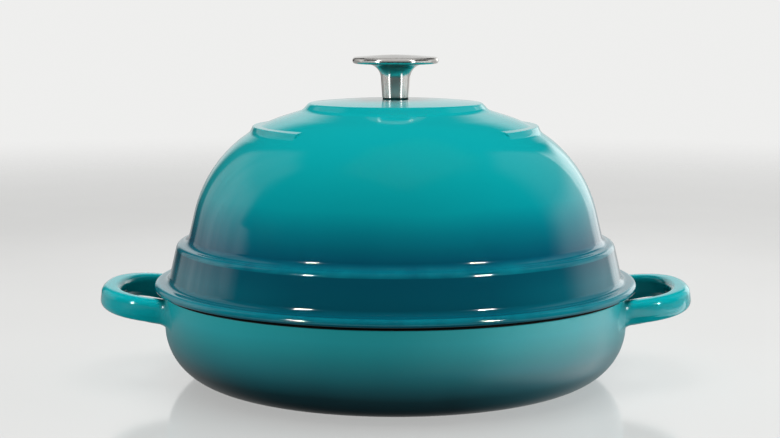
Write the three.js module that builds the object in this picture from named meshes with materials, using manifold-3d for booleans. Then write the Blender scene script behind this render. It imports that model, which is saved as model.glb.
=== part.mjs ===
// Domed bread oven in enamelled cast iron: a shallow pan with two loop handles, a tall dome lid
// that sits on its rim, and a stainless knob held by one screw from inside the lid.
// Millimetres, +Z up. The pot's axis is Z and the pan stands on Z = 0. The handles lie along X
// and the front is towards -Y.

import * as THREE from 'three';
import { mergeVertices, toCreasedNormals } from 'three/addons/utils/BufferGeometryUtils.js';
import Module from 'manifold-3d';

// Fits between the pieces
const SEAT_GAP = 0.3; // between two faces that rest on each other
const SIDE_GAP = 0.3; // radial, between a piece and the bore or recess that holds it
const REGISTER_CLEARANCE = 0.9; // radial, between the lid's lip and the inside of the pan

// Pan
const PAN_HEIGHT = 51.3;
const PAN_RIM_RADIUS = 132;
const PAN_DRAFT = 4.4; // degrees that the wall leans out
const PAN_CORNER = 31.5; // outside radius between base and wall
const PAN_WALL = 4.6;
const PAN_FLOOR = 5;
const PAN_RIM_ROUND = 1.2;

// Loop handles, cast with the pan
const HANDLE_REACH = 34.9; // from the rim to the outer edge of the loop
const HANDLE_SPAN = 92; // across the two arms, outside
const HANDLE_CORNER = 35.5; // outside corner of the loop
const HANDLE_BAR = 11.5; // width of the bar seen from above
const HANDLE_DEPTH = 12.9; // height of the bar
const HANDLE_ROUND = 3.8; // rounding of the bar's long edges
const HANDLE_DROP = 7.4; // from the rim down to the middle of the bar's root
const HANDLE_TILT = 7.1; // degrees that the loop rises outwards
const HANDLE_FLARE = 6; // how much each arm widens on its outer side at the wall
const HANDLE_FLARE_LENGTH = 14; // how far along the arm that widening runs

// Dome lid
const LID_RISE = 106; // from the seat to the middle of the crown
const LID_WALL = 4.5;
const LID_TURN = 4.1; // degrees from -Y towards +X that the lid's front sits turned on the pan
const INNER_ROUND = 1; // least radius inside a corner of the shell

const FLANGE_RADIUS = 136;
const FLANGE_THICKNESS = 5.4;
const FLANGE_FALL = 0.6; // how much the flange's top slopes down to its edge
const FLANGE_TOP_ROUND = 2.8;
const FLANGE_LOWER_ROUND = 0.8;
const FLANGE_LIFT = 1.2; // how far the flange hangs clear of the rim at its outer edge
const REGISTER_DEPTH = 4.2; // how far the lip drops into the pan
const REGISTER_WIDTH = 4.5;
const REGISTER_ROUND = 1.2;

const BAND_HEIGHT = 26; // from the seat to the top of the band
const BAND_RADIUS = 123.1; // at the top of the band
const BAND_DRAFT = 13.4;
const BAND_ROUND = 3.5;
const BAND_COVE = 4; // hollow between band and flange

const DOME_FOOT_RADIUS = 117.2; // where the dome rises from the top of the band
const DOME_FOOT_RISE = 0.8; // that place above the band's outer edge
const DOME_COVE = 5; // hollow between dome and band
const DOME_DRAFT = 13.5;
const DOME_SHOULDER = 73.3; // radius of the big round between wall and cap
const CAP_SLOPE = 17.7;

const PLATEAU_RADIUS = 48.8; // upper edge of the raised disc in the middle
const PLATEAU_STEP = 4; // height of its sloped edge
const PLATEAU_RUN = 3.6; // how far that edge spreads
const PLATEAU_ROUND = 2.4;
const CROWN_FALL = 2.2; // from the middle of the disc to its edge
const CROWN_FLAT = 24; // radius where the disc starts to fall away
const CROWN_ROUND = 400;

// Raised ring on the lid's shoulder, broken at the front
const RING_RADIUS = 80.2; // outer edge of its ledge
const RING_LEDGE = 4.6; // width of the ledge
const RING_LEAN = 1.4; // how far the ring's face spreads towards its foot
const RING_ROUND = 0.7;
const RING_BREAK = 89; // degrees of bare dome at the front

// Knob
const GASKET_THICKNESS = 0.8;
const GASKET_RADIUS = 7.2;
const KNOB_HEIGHT = 23.2;
const KNOB_RADIUS = 24.2;
const KNOB_RIM = 3.6; // thickness of the disc at its edge
const KNOB_RIM_ROUND = 1.75;
const KNOB_CROWN = 1.3; // rise of the disc's top from edge to middle
const KNOB_CROWN_FLAT = 8;
const KNOB_CROWN_ROUND = 180;
const STEM_FOOT_RADIUS = 7.4;
const STEM_TOP_RADIUS = 8.8;
const STEM_FOOT_ROUND = 0.4;
const STEM_FLARE = 8; // hollow between stem and disc
const STEM_DISC_RADIUS = 21; // edge of the stem's disc, inside the cap's rim
const STEM_DISC_THICKNESS = 1.2;
const STEM_DISC_RISE = 0.5; // how much the underside of the disc rises to its edge
const INSERT_RADIUS = 5.2;
const INSERT_LENGTH = 12;

// Fastening of the knob, inside the lid
const SCREW_RADIUS = 3;
const SCREW_END_GAP = 2; // from the tip of the screw to the end of the insert
const SCREW_TIP_CHAMFER = 0.6;
const SCREW_HEAD_RADIUS = 6;
const SCREW_HEAD_HEIGHT = 4;
const SCREW_HEAD_ROUND = 2;
const SCREW_SOCKET_ACROSS = 4; // across the flats of the hexagon socket
const SCREW_SOCKET_DEPTH = 2.2;
const FLAT_WASHER_RADIUS = 9;
const FLAT_WASHER_THICKNESS = 1.6;
const LOCK_WASHER_RADIUS = 5.9;
const LOCK_WASHER_THICKNESS = 1.6;
const LOCK_WASHER_SPLIT = 1.2;
const LOCK_WASHER_SLANT = 30; // degrees that the split leans

// Fineness of the facets
const POT_SEGMENTS = 52;
const KNOB_SEGMENTS = 28;
const CHORD_ERROR = 0.35; // largest distance of a chord from the arc that it stands for
const LOOP_STEPS = 8; // chords in each curve of a handle's outline
const BEVEL_STEPS = 2;
const CREASE_ANGLE = 35; // degrees between faces that show a sharp edge
const MERGE_DISTANCE = 1e-4; // corners closer than this are one

// Heights and radii that follow from the sizes above
const screwHole = SCREW_RADIUS + SIDE_GAP;
const seatZ = PAN_HEIGHT + SEAT_GAP;
const crownZ = seatZ + LID_RISE;
const footZ = crownZ + SEAT_GAP + GASKET_THICKNESS + SEAT_GAP;
const insertEndZ = footZ + INSERT_LENGTH;
const rimTopZ = footZ + KNOB_HEIGHT - KNOB_CROWN;
const rimLowZ = rimTopZ - KNOB_RIM;
const stemDiscZ = rimLowZ + STEM_DISC_THICKNESS;
const flatWasherZ = crownZ - LID_WALL - SEAT_GAP;
const lockWasherZ = flatWasherZ - FLAT_WASHER_THICKNESS - SEAT_GAP;
const screwHeadZ = lockWasherZ - LOCK_WASHER_THICKNESS - SEAT_GAP;

const degrees = THREE.MathUtils.degToRad;
const wasm = await Module();
wasm.setup();

// Direction of a line that falls outwards by an angle below the horizontal.
function falling(angle) {
  return new THREE.Vector2(Math.cos(degrees(angle)), -Math.sin(degrees(angle)));
}

// Where two lines cross, each given by a point and a direction.
function meet(from, along, other, otherAlong) {
  const reach = other.clone().sub(from).cross(otherAlong) / along.cross(otherAlong);
  return from.clone().addScaledVector(along, reach);
}

// A corner of a profile: radius, height and the radius of its rounding.
function corner(r, z, round = 0) {
  return { at: new THREE.Vector2(r, z), round };
}

// The profile through a list of corners, with each rounded corner drawn as an arc. Roundings that
// would overlap on a short stretch shrink together until they fit.
function rounded(corners) {
  const turns = corners.map((here, i) => {
    if (i === 0 || i === corners.length - 1 || here.round === 0) return null;
    const back = corners[i - 1].at.clone().sub(here.at).normalize();
    const ahead = corners[i + 1].at.clone().sub(here.at).normalize();
    const half = Math.acos(THREE.MathUtils.clamp(back.dot(ahead), -1, 1)) / 2;
    return { back, ahead, half, cut: here.round / Math.tan(half) };
  });
  for (let i = 0; i + 1 < corners.length; i++) {
    const length = corners[i].at.distanceTo(corners[i + 1].at);
    const pair = [turns[i], turns[i + 1]].filter(Boolean);
    const wanted = pair.reduce((sum, turn) => sum + turn.cut, 0);
    if (wanted > length) pair.forEach((turn) => { turn.cut *= length / wanted; });
  }
  return corners.flatMap((here, i) => {
    const turn = turns[i];
    if (!turn) return [here.at];
    const radius = turn.cut * Math.tan(turn.half);
    const middle = turn.back.clone().add(turn.ahead).normalize();
    const centre = here.at.clone().addScaledVector(middle, radius / Math.sin(turn.half));
    const start = here.at.clone().addScaledVector(turn.back, turn.cut).sub(centre);
    const sweep = Math.PI - 2 * turn.half;
    const side = Math.sign(turn.ahead.cross(turn.back));
    const finest = 2 * Math.acos(1 - Math.min(CHORD_ERROR / radius, 0.5));
    const steps = Math.ceil(sweep / finest);
    const origin = new THREE.Vector2();
    return Array.from({ length: steps + 1 }, (_, k) => (
      start.clone().rotateAround(origin, (side * sweep * k) / steps).add(centre)
    ));
  });
}

// The inside of a shell: every straight stretch of an outer profile moves in by the wall.
function inset(corners, wall) {
  const stretches = corners.slice(1).map((next, i) => {
    const along = next.at.clone().sub(corners[i].at).normalize();
    const inward = new THREE.Vector2(along.y, -along.x);
    return { from: corners[i].at.clone().addScaledVector(inward, wall), along };
  });
  return stretches.map((stretch, i) => {
    if (i === 0) return { at: stretch.from, round: 0 };
    const before = stretches[i - 1];
    const convex = before.along.cross(stretch.along) < 0;
    const round = corners[i].round + (convex ? -wall : wall);
    const at = meet(before.from, before.along, stretch.from, stretch.along);
    return { at, round: Math.max(round, INNER_ROUND) };
  });
}

// Height of an outer profile at a radius, read along its straight stretches.
function heightAt(profile, r) {
  const i = profile.findIndex((point, k) => k > 0 && point.x >= r);
  const share = (r - profile[i - 1].x) / (profile[i].x - profile[i - 1].x);
  return THREE.MathUtils.lerp(profile[i - 1].y, profile[i].y, share);
}

// A body turned about Z from a profile that runs round the section clockwise, seen with the
// radius to the right and the height up. A ring's profile closes on its own first point.
function revolve(profile, segments, isRing = false) {
  const outline = isRing ? [...profile, profile[0]] : profile;
  const geometry = new THREE.LatheGeometry(outline.toReversed(), segments);
  return geometry.rotateX(Math.PI / 2);
}

// A closed body for joining and cutting: shared corners merged, collapsed triangles left out.
function body(geometry) {
  const bare = geometry.clone();
  bare.deleteAttribute('normal');
  bare.deleteAttribute('uv');
  const merged = mergeVertices(bare, MERGE_DISTANCE);
  const index = merged.index.array;
  const triangles = [];
  for (let i = 0; i < index.length; i += 3) {
    const [a, b, c] = index.slice(i, i + 3);
    if (a !== b && b !== c && c !== a) triangles.push(a, b, c);
  }
  return new wasm.Manifold(new wasm.Mesh({
    numProp: 3,
    vertProperties: new Float32Array(merged.attributes.position.array),
    triVerts: new Uint32Array(triangles),
  }));
}

function geometryOf(solid) {
  const mesh = solid.getMesh();
  const geometry = new THREE.BufferGeometry();
  geometry.setAttribute('position', new THREE.BufferAttribute(mesh.vertProperties, 3));
  geometry.setIndex(new THREE.BufferAttribute(mesh.triVerts, 1));
  return toCreasedNormals(geometry, degrees(CREASE_ANGLE));
}

function piece(name, solid, finish) {
  const mesh = new THREE.Mesh(geometryOf(solid), new THREE.MeshStandardMaterial(finish));
  mesh.name = name;
  return mesh;
}

// Radius of the pan's drafted wall at a height, outside.
function panRadius(z) {
  return PAN_RIM_RADIUS - (PAN_HEIGHT - z) * Math.tan(degrees(PAN_DRAFT));
}

// The wall measured level, and the pan's inside at the rim, which the lid's lip fits.
const panWallLevel = PAN_WALL / Math.cos(degrees(PAN_DRAFT));
const panMouthRadius = PAN_RIM_RADIUS - panWallLevel;

function panOutside() {
  return body(revolve(rounded([
    corner(0, PAN_HEIGHT),
    corner(PAN_RIM_RADIUS, PAN_HEIGHT, PAN_RIM_ROUND),
    corner(panRadius(0), 0, PAN_CORNER),
    corner(0, 0),
  ]), POT_SEGMENTS));
}

// The pan's inside, with the rim's inner edge broken and the top run past the rim.
function panHollow() {
  const above = PAN_HEIGHT + PAN_RIM_ROUND;
  return body(revolve(rounded([
    corner(0, above),
    corner(panMouthRadius + 2 * PAN_RIM_ROUND, above),
    corner(panRadius(PAN_HEIGHT - PAN_RIM_ROUND) - panWallLevel, PAN_HEIGHT - PAN_RIM_ROUND),
    corner(panRadius(PAN_FLOOR) - panWallLevel, PAN_FLOOR, PAN_CORNER - PAN_WALL),
    corner(0, PAN_FLOOR),
  ]), POT_SEGMENTS));
}

// One loop handle on the +X side: a U seen from above, whose arms widen into the wall and run
// half way through it, extruded with rounded edges and tilted up.
function loopHandle() {
  const half = HANDLE_SPAN / 2 - HANDLE_ROUND;
  const reach = HANDLE_REACH - HANDLE_ROUND;
  const bar = HANDLE_BAR - 2 * HANDLE_ROUND;
  const round = HANDLE_CORNER - HANDLE_ROUND;
  const root = Math.sqrt((PAN_RIM_RADIUS - PAN_WALL) ** 2 - (HANDLE_SPAN / 2) ** 2) - PAN_RIM_RADIUS;
  const bend = reach - round;
  const flareEnd = Math.min(root + HANDLE_FLARE_LENGTH, bend);
  const loop = new THREE.Shape();
  loop.moveTo(root, -half - HANDLE_FLARE);
  loop.quadraticCurveTo(root + HANDLE_FLARE, -half, flareEnd, -half);
  loop.lineTo(bend, -half);
  loop.absarc(bend, -half + round, round, -Math.PI / 2, 0);
  loop.absarc(bend, half - round, round, 0, Math.PI / 2);
  loop.lineTo(flareEnd, half);
  loop.quadraticCurveTo(root + HANDLE_FLARE, half, root, half + HANDLE_FLARE);
  loop.lineTo(root, half - bar);
  loop.lineTo(bend, half - bar);
  loop.absarc(bend, half - round, round - bar, Math.PI / 2, 0, true);
  loop.absarc(bend, -half + round, round - bar, 0, -Math.PI / 2, true);
  loop.lineTo(root, -half + bar);
  const geometry = new THREE.ExtrudeGeometry(loop, {
    depth: HANDLE_DEPTH - 2 * HANDLE_ROUND,
    bevelThickness: HANDLE_ROUND,
    bevelSize: HANDLE_ROUND,
    bevelSegments: BEVEL_STEPS,
    curveSegments: LOOP_STEPS,
  });
  geometry.translate(0, 0, HANDLE_ROUND - HANDLE_DEPTH / 2);
  geometry.rotateY(-degrees(HANDLE_TILT));
  geometry.translate(PAN_RIM_RADIUS, 0, PAN_HEIGHT - HANDLE_DROP);
  return geometry;
}

function basePan() {
  const right = loopHandle();
  const left = right.clone().rotateZ(Math.PI);
  return panOutside().add(body(right)).add(body(left)).subtract(panHollow());
}

// Corners of the lid's outside, from the screw hole in the crown to the foot of the band.
function lidOutside() {
  const bandTopZ = seatZ + BAND_HEIGHT;
  const bandTop = corner(BAND_RADIUS, bandTopZ, BAND_ROUND);
  const domeFoot = corner(DOME_FOOT_RADIUS, bandTopZ + DOME_FOOT_RISE, DOME_COVE);
  const edgeZ = crownZ - CROWN_FALL;
  const plateauFoot = corner(PLATEAU_RADIUS + PLATEAU_RUN, edgeZ - PLATEAU_STEP, PLATEAU_ROUND);
  const shoulder = meet(plateauFoot.at, falling(CAP_SLOPE), domeFoot.at, falling(90 - DOME_DRAFT));
  const flangeTop = new THREE.Vector2(FLANGE_RADIUS, seatZ + FLANGE_THICKNESS - FLANGE_FALL);
  const flangeSlope = new THREE.Vector2(FLANGE_RADIUS - BAND_RADIUS, -FLANGE_FALL);
  const bandFoot = meet(bandTop.at, falling(90 - BAND_DRAFT), flangeTop, flangeSlope);
  return [
    corner(screwHole, crownZ),
    corner(CROWN_FLAT, crownZ, CROWN_ROUND),
    corner(PLATEAU_RADIUS, edgeZ, PLATEAU_ROUND),
    plateauFoot,
    corner(shoulder.x, shoulder.y, DOME_SHOULDER),
    domeFoot,
    bandTop,
    corner(bandFoot.x, bandFoot.y, BAND_COVE),
  ];
}

// The flange's edge, the seat under it and the lip that drops into the pan.
function lidLowerEdge() {
  const lipRadius = panMouthRadius - REGISTER_CLEARANCE;
  const lipZ = seatZ - REGISTER_DEPTH;
  return [
    corner(FLANGE_RADIUS, seatZ + FLANGE_THICKNESS - FLANGE_FALL, FLANGE_TOP_ROUND),
    corner(FLANGE_RADIUS, seatZ + FLANGE_LIFT, FLANGE_LOWER_ROUND),
    corner(PAN_RIM_RADIUS - PAN_RIM_ROUND, seatZ),
    corner(lipRadius, seatZ),
    corner(lipRadius, lipZ, REGISTER_ROUND),
    corner(lipRadius - REGISTER_WIDTH, lipZ, REGISTER_ROUND),
  ];
}

// The ring's section is a wedge: a level ledge and a steep face, with its back sunk in the dome.
function shoulderRing(outside) {
  const profile = rounded(outside);
  const sink = LID_WALL / 3;
  const ledgeZ = heightAt(profile, RING_RADIUS - RING_LEDGE);
  const ring = body(revolve(rounded([
    corner(RING_RADIUS - RING_LEDGE - sink, ledgeZ),
    corner(RING_RADIUS, ledgeZ, RING_ROUND),
    corner(RING_RADIUS + RING_LEAN, heightAt(profile, RING_RADIUS) - sink),
  ]), POT_SEGMENTS, true));
  return ring.subtract(frontWedge(RING_BREAK, ledgeZ));
}

// A wedge from the axis out past the ring at the front, and up past its ledge, for the ring's
// bare stretch.
function frontWedge(angle, ledgeZ) {
  const beyond = 2 * RING_RADIUS;
  const side = new THREE.Vector2(0, -beyond);
  const axis = new THREE.Vector2();
  const wedge = new THREE.Shape([
    axis,
    side.clone().rotateAround(axis, -degrees(angle) / 2),
    side.clone().rotateAround(axis, degrees(angle) / 2),
  ]);
  const depth = ledgeZ + RING_LEDGE;
  return body(new THREE.ExtrudeGeometry(wedge, { depth, bevelEnabled: false }));
}

function domeLid() {
  const outside = lidOutside();
  const inside = inset(outside, LID_WALL).reverse();
  const shell = body(revolve(rounded([...outside, ...lidLowerEdge(), ...inside]), POT_SEGMENTS, true));
  return shell.add(shoulderRing(outside));
}

// Flat ring with square edges, by its lower face.
function flatRing(outer, inner, z, thickness) {
  return body(revolve([
    new THREE.Vector2(inner, z + thickness),
    new THREE.Vector2(outer, z + thickness),
    new THREE.Vector2(outer, z),
    new THREE.Vector2(inner, z),
  ], KNOB_SEGMENTS, true));
}

// Top of the knob: a shallow crowned disc with a round rim, hollowed below for the stem's disc.
function knobCap() {
  const recess = STEM_DISC_RADIUS + SIDE_GAP;
  const recessZ = stemDiscZ + SEAT_GAP;
  return body(revolve(rounded([
    corner(0, rimTopZ + KNOB_CROWN),
    corner(KNOB_CROWN_FLAT, rimTopZ + KNOB_CROWN, KNOB_CROWN_ROUND),
    corner(KNOB_RADIUS, rimTopZ, KNOB_RIM_ROUND),
    corner(KNOB_RADIUS, rimLowZ, KNOB_RIM_ROUND),
    corner(recess, rimLowZ),
    corner(recess, recessZ),
    corner(0, recessZ),
  ]), KNOB_SEGMENTS));
}

// Trumpet-shaped stem that spreads into the underside of the disc, bored for the insert.
function knobStem() {
  const bore = INSERT_RADIUS + SIDE_GAP;
  return body(revolve(rounded([
    corner(bore, stemDiscZ),
    corner(STEM_DISC_RADIUS, stemDiscZ),
    corner(STEM_DISC_RADIUS, rimLowZ),
    corner(STEM_TOP_RADIUS, rimLowZ - STEM_DISC_RISE, STEM_FLARE),
    corner(STEM_FOOT_RADIUS, footZ, STEM_FOOT_ROUND),
    corner(bore, footZ),
  ]), KNOB_SEGMENTS, true));
}

// Split spring washer: a square-edged ring with a slanting cut through one side.
function lockWasher() {
  const z = lockWasherZ - LOCK_WASHER_THICKNESS;
  const ring = flatRing(LOCK_WASHER_RADIUS, screwHole, z, LOCK_WASHER_THICKNESS);
  const through = 4 * LOCK_WASHER_THICKNESS;
  const cut = new THREE.BoxGeometry(LOCK_WASHER_RADIUS, LOCK_WASHER_SPLIT, through);
  cut.rotateX(degrees(LOCK_WASHER_SLANT));
  cut.translate(LOCK_WASHER_RADIUS, 0, z + LOCK_WASHER_THICKNESS / 2);
  return ring.subtract(body(cut));
}

// Pan head screw with a hexagon socket, driven up from inside the lid.
function knobScrew() {
  const headLowZ = screwHeadZ - SCREW_HEAD_HEIGHT;
  const tipZ = insertEndZ - SCREW_END_GAP;
  const screw = body(revolve(rounded([
    corner(0, tipZ),
    corner(SCREW_RADIUS - SCREW_TIP_CHAMFER, tipZ),
    corner(SCREW_RADIUS, tipZ - SCREW_TIP_CHAMFER),
    corner(SCREW_RADIUS, screwHeadZ),
    corner(SCREW_HEAD_RADIUS, screwHeadZ),
    corner(SCREW_HEAD_RADIUS, headLowZ, SCREW_HEAD_ROUND),
    corner(0, headLowZ),
  ]), KNOB_SEGMENTS));
  const socketRadius = SCREW_SOCKET_ACROSS / 2 / Math.cos(Math.PI / 6);
  const socket = new THREE.CylinderGeometry(socketRadius, socketRadius, 2 * SCREW_SOCKET_DEPTH, 6);
  socket.rotateX(Math.PI / 2);
  socket.translate(0, 0, headLowZ);
  return screw.subtract(body(socket));
}

// Flat ring between the screw and a radius, by its lower face: gasket, bush and washer.
function screwRing(outer, z, thickness) {
  return flatRing(outer, screwHole, z, thickness);
}

const PAN_ENAMEL = { color: 0x3f9a9c, roughness: 0.18, metalness: 0 };
const LID_ENAMEL = { color: 0x0a8f98, roughness: 0.18, metalness: 0 };
const GASKET_RUBBER = { color: 0x1a1b1c, roughness: 0.8, metalness: 0 };
const SATIN_STEEL = { color: 0xb9b7b2, roughness: 0.28, metalness: 1 };
const PLAIN_STEEL = { color: 0x9c9b98, roughness: 0.38, metalness: 1 };

// The lid with its knob lifts off the pan as one.
const gasketZ = crownZ + SEAT_GAP;
const gasket = screwRing(GASKET_RADIUS, gasketZ, GASKET_THICKNESS);
const insert = screwRing(INSERT_RADIUS, footZ, INSERT_LENGTH);
const washerZ = flatWasherZ - FLAT_WASHER_THICKNESS;
const flatWasher = screwRing(FLAT_WASHER_RADIUS, washerZ, FLAT_WASHER_THICKNESS);
const lid = new THREE.Group();
lid.rotation.z = degrees(LID_TURN);
lid.add(
  piece('dome_lid', domeLid(), LID_ENAMEL),
  piece('knob_gasket', gasket, GASKET_RUBBER),
  piece('knob_stem', knobStem(), SATIN_STEEL),
  piece('knob_insert', insert, PLAIN_STEEL),
  piece('knob_cap', knobCap(), SATIN_STEEL),
  piece('flat_washer', flatWasher, PLAIN_STEEL),
  piece('lock_washer', lockWasher(), PLAIN_STEEL),
  piece('knob_screw', knobScrew(), PLAIN_STEEL),
);

const oven = new THREE.Group();
oven.add(piece('base_pan', basePan(), PAN_ENAMEL), lid);

export default oven;
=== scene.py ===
import math

import bpy
import numpy as np
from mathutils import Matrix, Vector


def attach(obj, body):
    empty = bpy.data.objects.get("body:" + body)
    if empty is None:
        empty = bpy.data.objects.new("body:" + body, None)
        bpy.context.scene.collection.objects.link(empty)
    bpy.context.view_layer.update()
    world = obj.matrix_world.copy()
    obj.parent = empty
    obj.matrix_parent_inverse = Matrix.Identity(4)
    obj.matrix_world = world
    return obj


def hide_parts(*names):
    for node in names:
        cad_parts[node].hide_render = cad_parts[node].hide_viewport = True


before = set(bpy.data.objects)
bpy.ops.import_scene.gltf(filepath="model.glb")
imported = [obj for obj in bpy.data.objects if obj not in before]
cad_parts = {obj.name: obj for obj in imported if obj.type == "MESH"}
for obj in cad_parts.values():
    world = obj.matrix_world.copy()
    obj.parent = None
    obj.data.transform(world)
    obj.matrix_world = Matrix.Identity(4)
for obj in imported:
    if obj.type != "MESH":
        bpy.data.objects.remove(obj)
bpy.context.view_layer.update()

# Pan: a shallow dish of grey iron, sand cast in one with its two loop handles. It is dipped in
# teal glass enamel outside and cream enamel inside, and fired; the ground rim stays bare and dark.
MM = 0.001
PAN_HEIGHT = 51.3 * MM
PAN_RIM_RADIUS = 132 * MM
PAN_DRAFT = math.radians(4.4)
PAN_CORNER = 31.5 * MM
PAN_WALL = 4.6 * MM
PAN_FLOOR = 5 * MM
PAN_RIM_ROUND = 1.2 * MM
PAN_RIM_BARE = 0.7 * MM
PAN_ANGLES = 288
# The pan's glaze darkens towards the bottom; its darkest stops near the floor are painted shade.
PAN_GLAZE = (
    (0.00, (0.001, 0.018, 0.024)),
    (0.15, (0.001, 0.026, 0.035)),
    (0.25, (0.001, 0.036, 0.047)),
    (0.37, (0.001, 0.096, 0.120)),
    (0.50, (0.001, 0.180, 0.214)),
    (0.62, (0.001, 0.256, 0.292)),
    (0.85, (0.002, 0.420, 0.470)),
    (1.00, (0.002, 0.450, 0.490)),
)
# Painted light: low on the pan's right side the glaze is painted lighter, where the right window falls.
PAN_SIDE_LIGHT = {"near": 30 * MM, "far": 110 * MM, "below": 0.45, "amount": 0.36, "both_sides": False}
PAN_SPECULAR = 0.35
# Painted shade: the dark glaze that is painted inside the handle loops.
LOOP_SHADE_GLAZE = (0.001, 0.020, 0.024)
# The lighter glaze of thinner edges, also used for painted highlights and painted side light.
LIT_AND_THIN_GLAZE = (0.003, 0.22, 0.28)
CREAM = (0.70, 0.635, 0.52)
BLACK_IRON = (0.010, 0.009, 0.008)
MARKS = ("lining", "bare", "edge", "satin", "pooled")


class Wire:
    """One output of a node tree: arithmetic on it adds Math nodes, and node() adds any other node."""

    def __init__(self, tree, socket=None):
        self.tree = tree
        self.socket = socket

    def node(self, kind, settings=None, inputs=None, output=0):
        made = self.tree.nodes.new(kind)
        for name, value in (settings or {}).items():
            if name == "stops":
                self.set_stops(made.color_ramp, value)
            else:
                setattr(made, name, value)
        for key, value in (inputs or {}).items():
            self.feed(self.pick(made.inputs, key), value)
        return Wire(self.tree, self.pick(made.outputs, output)) if made.outputs else None

    def feed(self, socket, value):
        if isinstance(value, Wire):
            self.tree.links.new(value.socket, socket)
        elif socket.type == "RGBA":
            socket.default_value = (*value, 1)
        else:
            socket.default_value = value

    @staticmethod
    def pick(sockets, key):
        shown = [socket for socket in sockets if socket.enabled]
        if isinstance(key, int):
            return shown[key]
        return next(socket for socket in shown if socket.name == key)

    @staticmethod
    def set_stops(ramp, stops):
        while len(ramp.elements) < len(stops):
            ramp.elements.new(1)
        for element, (position, colour) in zip(ramp.elements, stops):
            element.position = position
            element.color = (*colour, 1)

    def math(self, operation, *values):
        inputs = dict(enumerate((self, *values)))
        return self.node("ShaderNodeMath", {"operation": operation}, inputs)

    def __add__(self, other):
        return self.math("ADD", other)

    def __mul__(self, other):
        return self.math("MULTIPLY", other)

    def __sub__(self, other):
        return self.math("SUBTRACT", other)

    def __rsub__(self, other):
        return self.math("MULTIPLY", -1) + other

    def __truediv__(self, other):
        return self.math("DIVIDE", other)

    __radd__ = __add__
    __rmul__ = __mul__


CURVE_CHORD = 0.006 * MM
LEAST_ARC_STEPS = 4
LEAST_STRETCH = 4 * CURVE_CHORD
LONGEST_STRETCH = 3 * MM
EDGE_SUPPORT = 0.3 * MM
SUPPORT_SHARE = 0.25


def unit(vector):
    return vector / np.linalg.norm(vector)


def rounding_cuts(corners, at):
    """Half the angle at each corner, and how far its rounding reaches along the stretches beside it.
    Roundings that meet on a short stretch shrink until they fit."""
    half, cut = {}, {}
    for i in range(1, len(corners) - 1):
        back, ahead = unit(at[i - 1] - at[i]), unit(at[i + 1] - at[i])
        half[i] = math.acos(np.clip(back @ ahead, -1, 1)) / 2
        cut[i] = corners[i][2] / math.tan(half[i])
    for i in range(len(corners) - 1):
        length = np.linalg.norm(at[i + 1] - at[i])
        wanted = cut.get(i, 0) + cut.get(i + 1, 0)
        for j in (i, i + 1):
            if j in cut and wanted > length:
                cut[j] *= length / wanted
    return half, cut


def corner_arc(before, here, after, half, cut):
    """Points of the arc that rounds a corner."""
    back, ahead = unit(before - here), unit(after - here)
    radius = cut * math.tan(half)
    centre = here + unit(back + ahead) * radius / math.sin(half)
    x, y = here + back * cut - centre
    sweep = math.copysign(math.pi - 2 * half, ahead[0] * back[1] - ahead[1] * back[0])
    step = 2 * math.acos(1 - CURVE_CHORD / max(radius, 2 * CURVE_CHORD))
    steps = max(LEAST_ARC_STEPS, math.ceil(abs(sweep) / step))
    turn = np.linspace(0, sweep, steps + 1)
    cos, sin = np.cos(turn), np.sin(turn)
    return list(centre + np.column_stack([x * cos - y * sin, x * sin + y * cos]))


def stretch_points(start, stop, longest):
    """Points that divide a straight stretch, with one close to each of its ends."""
    length = np.linalg.norm(stop - start)
    if length <= LEAST_STRETCH:
        return []
    support = min(EDGE_SUPPORT / length, SUPPORT_SHARE)
    parts = math.ceil(length / longest)
    shares = sorted({support, 1 - support, *(k / parts for k in range(1, parts))})
    return [start + (stop - start) * share for share in shares]


def rounded(corners, longest=LONGEST_STRETCH):
    """Profile through corners (radius, height, rounding): its points and the corner of each point,
    which is 2.5 for a point on the stretch from corner 2 to corner 3."""
    at = [np.array(corner[:2]) for corner in corners]
    half, cut = rounding_cuts(corners, at)
    points, owners = [], []
    for i, here in enumerate(at):
        arc = [here]
        if cut.get(i, 0) > 0:
            arc = corner_arc(at[i - 1], here, at[i + 1], half[i], cut[i])
        stretch = stretch_points(points[-1], arc[0], longest) if points else []
        points.extend(stretch + arc)
        owners.extend([i - 0.5] * len(stretch) + [i] * len(arc))
    return np.array(points), np.array(owners)


WELD_DISTANCE = 0.0005 * MM
CREASE = math.radians(38)


def part(vector, axis):
    return vector.node("ShaderNodeSeparateXYZ", inputs={0: vector}, output=axis)


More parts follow.
